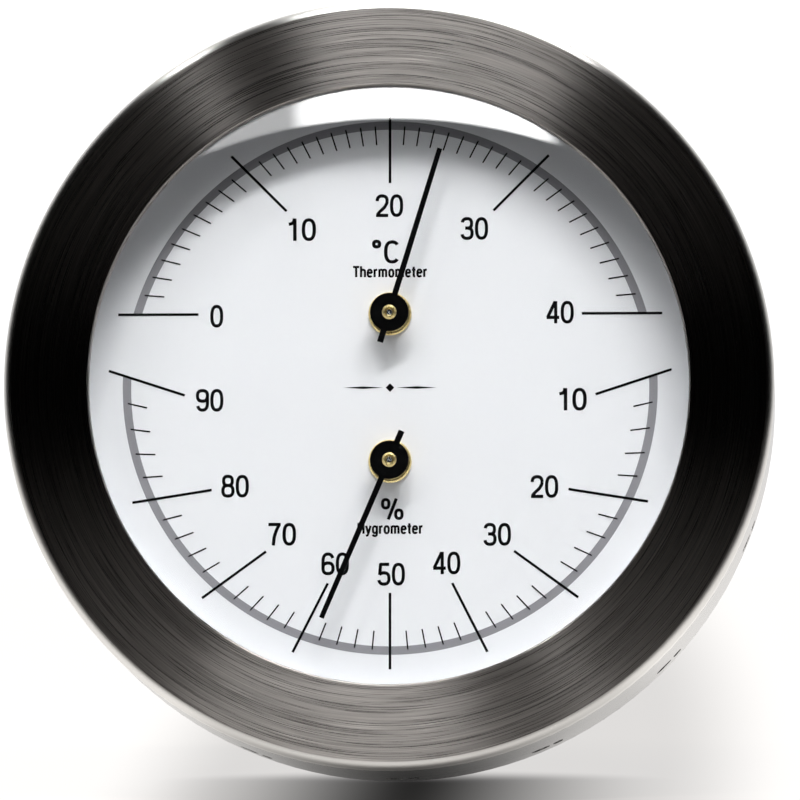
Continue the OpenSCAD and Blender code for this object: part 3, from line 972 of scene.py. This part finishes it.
@dataclass(frozen=True)
class FloorShade:
    """A soft painted shadow in the floor's glow, round a point of the line where the case
    stands.
    """

    centre: float
    wide: float
    deep: float
    start: float
    darkest: float

    def brightness(
        self,
        tree: bpy.types.NodeTree,
        x: bpy.types.NodeSocket,
        depth: bpy.types.NodeSocket,
    ) -> bpy.types.NodeSocket:
        """Builds the share of the glow that the painted shadow leaves.

        Args:
            tree: the floor's node tree.
            x: the place from left to right.
            depth: the distance from the line where the case stands.

        Returns:
            The darkest share in the middle, and one outside the shade.
        """
        aside = add_node(tree, "ShaderNodeMath", {"operation": "SUBTRACT"},
                         {0: x, 1: self.centre}).outputs[0]
        flat = add_node(tree, "ShaderNodeCombineXYZ", inputs={"X": aside, "Y": depth})
        scaled = add_node(tree, "ShaderNodeVectorMath", {"operation": "DIVIDE"}, {
            0: flat.outputs[0], 1: (self.wide, self.deep, 1.0),
        }).outputs[0]
        reach = add_node(
            tree, "ShaderNodeVectorMath", {"operation": "LENGTH"}, {0: scaled}
        ).outputs["Value"]
        return add_node(tree, "ShaderNodeMapRange", {"interpolation_type": "SMOOTHSTEP"}, {
            "Value": reach, "From Min": self.start, "From Max": 1.0,
            "To Min": self.darkest, "To Max": 1.0,
        }).outputs[0]


@dataclass(frozen=True)
class StudioBoard:
    """The floor: a dark board that glows pale, with the case's shadow and mirror image painted
    into its glow.

    A range is a pair of places from front to back, in metres: where the effect
    begins and where it is full.
    """

    name: str = "glowing_board_with_painted_shade"
    colour: str = "383533"
    glow_colour: str = "FFFDFB"
    roughness: float = 0.6
    # Where the painted mirror image of the case lies in front of it.
    mirror_range: Span = (-0.07, -0.13)
    mirror_depth: float = 0.024
    front_range: Span = (-0.14, -0.085)
    # A painted glow in front of the case that only glossy rays see.
    near_range: Span = (-0.042, -0.046)
    near_glow: float = 0.8
    # The case's shadows, painted into the glow.
    wide_shade: FloorShade = FloorShade(0.008, 0.062, 0.7, 0.6, 0.7)
    close_shade: FloorShade = FloorShade(0.003, 0.048, 0.024, 0.0, 0.03)

    def make(self) -> bpy.types.Material:
        """Builds the material, and returns it."""
        material, tree, out = new_material(self.name)
        place = add_node(tree, "ShaderNodeTexCoord").outputs["Object"]
        split = add_node(tree, "ShaderNodeSeparateXYZ", inputs={0: place})
        x, y = split.outputs["X"], split.outputs["Y"]
        path = add_node(tree, "ShaderNodeLightPath")
        behind = add_node(tree, "ShaderNodeMath", {"operation": "MAXIMUM"},
                          {0: y, 1: 0.0}).outputs[0]
        # In front the painted shade keeps its depth for 70 mm, as a painted mirror image of
        # the case, and then ends.
        before = add_node(tree, "ShaderNodeMapRange", inputs={
            "Value": y, "From Min": self.mirror_range[0], "From Max": self.mirror_range[1],
            "To Min": 0.0, "To Max": self.mirror_depth,
        }).outputs[0]
        around = add_node(tree, "ShaderNodeMath", {"operation": "ADD"},
                          {0: behind, 1: before}).outputs[0]
        # The board's front sends no light to the bezel, though it looks as pale as the rest.
        front, near = (
            add_node(tree, "ShaderNodeMapRange", {"interpolation_type": "SMOOTHSTEP"}, {
                "Value": y, "From Min": start, "From Max": full, "To Min": 0.0, "To Max": top,
            }).outputs[0]
            for (start, full), top in ((self.front_range, 1.0),
                                       (self.near_range, self.near_glow))
        )
        glow = add_node(tree, "ShaderNodeMath", {"operation": "MAXIMUM"}, {
            0: front, 1: path.outputs["Is Camera Ray"],
        }).outputs[0]
        # The case's shadow is painted into the glow: a wide one behind it and a close one
        # round its foot.
        for shade, depth in ((self.wide_shade, behind), (self.close_shade, around)):
            glow = add_node(tree, "ShaderNodeMath", {"operation": "MULTIPLY"}, {
                0: glow, 1: shade.brightness(tree, x, depth),
            }).outputs[0]
        # Only glossy rays see this painted glow: from the bezel's rounded edge the board in
        # front looks white.
        for part in (front, path.outputs["Is Glossy Ray"]):
            near = add_node(tree, "ShaderNodeMath", {"operation": "MULTIPLY"},
                            {0: near, 1: part}).outputs[0]
        glow = add_node(tree, "ShaderNodeMath", {"operation": "MAXIMUM"},
                        {0: glow, 1: near}).outputs[0]
        board = add_node(tree, "ShaderNodeBsdfPrincipled", inputs={
            "Base Color": linear(self.colour), "Roughness": self.roughness,
            "Specular IOR Level": 0.0, "Emission Color": linear(self.glow_colour),
            "Emission Strength": glow,
        })
        tree.links.new(board.outputs[0], out.inputs[0])
        return material


@dataclass(frozen=True)
class Lamp:
    """A soft box that faces the dial. Its place and size are in metres."""

    name: str
    place: tuple[float, float, float]
    size: tuple[float, float]
    watts: float

    def hang(self, target: Vector) -> None:
        """Hangs the lamp.

        Args:
            target: the point that it faces.
        """
        Bench.clear()
        bpy.ops.object.light_add(type="AREA", location=self.place)
        box = bpy.context.object
        box.name = self.name
        box.data.shape = "RECTANGLE"
        box.data.size, box.data.size_y = self.size
        box.data.energy = self.watts
        aim = target - Vector(self.place)
        box.rotation_euler = aim.to_track_quat("-Z", "Y").to_euler()


@dataclass(frozen=True)
class Window:
    """A bright window above the camera, with an arched lower edge.

    Only the smooth glass mirrors it, at the top of the dial: brushed steel would
    smear it all round the bezel. Places on it are metres across and up at one metre
    ahead, and each edge is a pair of them: where it is dark and where it is lit.
    """

    strength: float = 26.0
    arch_centre: Point = (-0.0365, 0.0643)
    arch_edge: Span = (0.0454, 0.0459)
    left_edge: Span = (-0.0565, -0.0518)
    right_edge: Span = (-0.0208, -0.0242)
    dim_pane_edge: Span = (-0.0462, -0.0428)
    dim_pane_light: float = 0.16
    top_edge: Span = (0.135, 0.125)
    sill_edge: Span = (0.08, 0.09)
    ahead_edge: Span = (0.0, 0.1)
    least_ahead: float = 0.01

    def light(self, tree: bpy.types.NodeTree, way: bpy.types.Node) -> bpy.types.NodeSocket:
        """Builds the window's light.

        Args:
            tree: the world's node tree.
            way: the node that splits the direction into its parts.

        Returns:
            How bright the window is in each direction.
        """
        facing = add_node(tree, "ShaderNodeMath", {"operation": "MULTIPLY"}, {
            0: way.outputs["Y"], 1: -1.0,
        }).outputs[0]
        ahead = add_node(tree, "ShaderNodeMath", {"operation": "MAXIMUM"}, {
            0: facing, 1: self.least_ahead,
        }).outputs[0]
        across, up = (
            add_node(tree, "ShaderNodeMath", {"operation": "DIVIDE"}, {
                0: way.outputs[axis], 1: ahead,
            }).outputs[0]
            for axis in ("X", "Z")
        )
        spot = add_node(tree, "ShaderNodeCombineXYZ", inputs={"X": across, "Y": up}).outputs[0]
        reach = add_node(tree, "ShaderNodeVectorMath", {"operation": "DISTANCE"}, {
            0: spot, 1: (*self.arch_centre, 0.0),
        }).outputs["Value"]
        light = add_node(tree, "ShaderNodeMath", {"operation": "MULTIPLY"}, {
            0: add_node(tree, "ShaderNodeLightPath").outputs["Is Singular Ray"],
            1: self.strength,
        }).outputs[0]
        for value, (dark, lit), least in (
            (reach, self.arch_edge, 0.0),
            (across, self.left_edge, 0.0),
            (across, self.dim_pane_edge, self.dim_pane_light),
            (across, self.right_edge, 0.0),
            (up, self.top_edge, 0.0),
            (up, self.sill_edge, 0.0),
            (facing, self.ahead_edge, 0.0),
        ):
            soft = {"interpolation_type": "SMOOTHSTEP"}
            share = add_node(tree, "ShaderNodeMapRange", soft, {
                "Value": value, "From Min": dark, "From Max": lit,
                "To Min": least, "To Max": 1.0,
            }).outputs[0]
            light = add_node(tree, "ShaderNodeMath", {"operation": "MULTIPLY"},
                             {0: light, 1: share}).outputs[0]
        return light


# A long box over the dial, which throws the lip's shadow.
OVERHEAD_SOFTBOX = Lamp("overhead_softbox", (0.117, -0.591, 0.957), (0.74, 0.07), 11.5)
# A small and much weaker box at the upper left.
SIDE_STRIP = Lamp("side_strip", (-0.52, -0.50, 0.86), (0.07, 0.1), 1.3)


@dataclass
class Studio:
    """The floor, the lamps, the surroundings and the camera.

    Lengths are in metres. The camera's place and aim are measured from the middle
    of the dial's front.
    """

    lowest: float
    dial_y: float
    lean_deg: float = 8.0
    floor_front: float = 2.6
    floor_back: float = 0.5
    floor_side: float = 2.6
    fill_strength: float = 0.2
    fill_tint: str = "E2E9FF"
    dark_side: float = 0.001
    backdrop_edge: Span = (0.0, 0.3)
    backdrop_seen: float = 1.15
    camera_place: tuple[float, float, float] = (0.070, -1.907, -0.163)
    camera_aim: tuple[float, float, float] = (0.0017, 0.0, -0.0021)
    sensor_mm: float = 36.0
    lens_mm: float = 501.9
    clip: Span = (0.05, 20.0)

    def floor(self) -> None:
        """Lays a pale floor that the case's back edge stands on."""
        Bench.clear()
        bpy.ops.mesh.primitive_plane_add(size=2.0)
        floor = bpy.context.object
        floor.name = "studio_floor"
        floor.scale = (self.floor_side, (self.floor_front + self.floor_back) / 2, 1.0)
        floor.location = (0.0, (self.floor_back - self.floor_front) / 2, 0.0)
        Bench.settle(floor)
        floor.data.transform(Matrix.Rotation(math.radians(self.lean_deg), 4, "X"))
        floor.data.transform(Matrix.Translation((0.0, 0.0, self.lowest)))
        floor.data.materials.append(StudioBoard().make())
        floor.visible_shadow = False

    def surroundings(self) -> None:
        """Fills the room: white behind the object, dark on the reader's side."""
        world = bpy.data.worlds.new("studio")
        bpy.context.scene.world = world
        world.use_nodes = True
        tree = world.node_tree
        tree.nodes.clear()
        out = add_node(tree, "ShaderNodeOutputWorld")
        way = add_node(tree, "ShaderNodeTexCoord").outputs["Generated"]
        split = add_node(tree, "ShaderNodeSeparateXYZ", inputs={0: way})
        # Dull surfaces get a little light from the dark side, which fills the shadows.
        path = add_node(tree, "ShaderNodeLightPath")
        fill = add_node(tree, "ShaderNodeMath", {"operation": "MULTIPLY_ADD"}, {
            0: path.outputs["Is Diffuse Ray"], 1: self.fill_strength, 2: self.dark_side,
        }).outputs[0]
        behind = add_node(tree, "ShaderNodeMapRange", {"interpolation_type": "SMOOTHSTEP"}, {
            "Value": split.outputs["Y"],
            "From Min": self.backdrop_edge[0], "From Max": self.backdrop_edge[1],
            "To Min": fill, "To Max": 1.0,
        }).outputs[0]
        behind = add_node(tree, "ShaderNodeMath", {"operation": "ADD"}, {
            0: behind, 1: Window().light(tree, split),
        }).outputs[0]
        strength = add_node(tree, "ShaderNodeMix", {"data_type": "FLOAT"}, {
            0: path.outputs["Is Camera Ray"], 2: behind, 3: self.backdrop_seen,
        }).outputs[0]
        colour = add_node(tree, "ShaderNodeMix", {"data_type": "RGBA"}, {
            0: path.outputs["Is Diffuse Ray"], 6: linear("FFFFFF"), 7: linear(self.fill_tint),
        }).outputs[2]
        sky = add_node(tree, "ShaderNodeBackground", inputs={
            "Color": colour, "Strength": strength,
        })
        tree.links.new(sky.outputs[0], out.inputs[0])

    def camera(self) -> None:
        """Sets a long lens a little below and to the right of the dial's axis."""
        middle = Vector((0.0, self.dial_y, 0.0))
        place = middle + Vector(self.camera_place)
        aim = middle + Vector(self.camera_aim)
        bpy.ops.object.camera_add(location=place)
        camera = bpy.context.object
        camera.rotation_euler = (aim - place).to_track_quat("-Z", "Y").to_euler()
        camera.data.sensor_width = self.sensor_mm
        camera.data.lens = self.lens_mm
        camera.data.clip_start, camera.data.clip_end = self.clip
        bpy.context.scene.camera = camera

    def build(self) -> None:
        """Builds the whole studio."""
        self.floor()
        self.surroundings()
        for lamp in (OVERHEAD_SOFTBOX, SIDE_STRIP):
            lamp.hang(Vector((0.0, self.dial_y, 0.0)))
        self.camera()
        bpy.context.scene.view_settings.view_transform = "Standard"


def main() -> None:
    """Builds every class in order."""
    logging.basicConfig(level=logging.INFO, format="%(name)s: %(message)s")
    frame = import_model()
    SolidFinishes(frame["nodes"]).build()
    dial_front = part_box("dial_plate")[0].y
    DialPrint(DialPlane(dial_front)).build()
    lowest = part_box("case_back")[0].z
    Studio(lowest, dial_front).build()


if __name__ == "__main__":
    main()
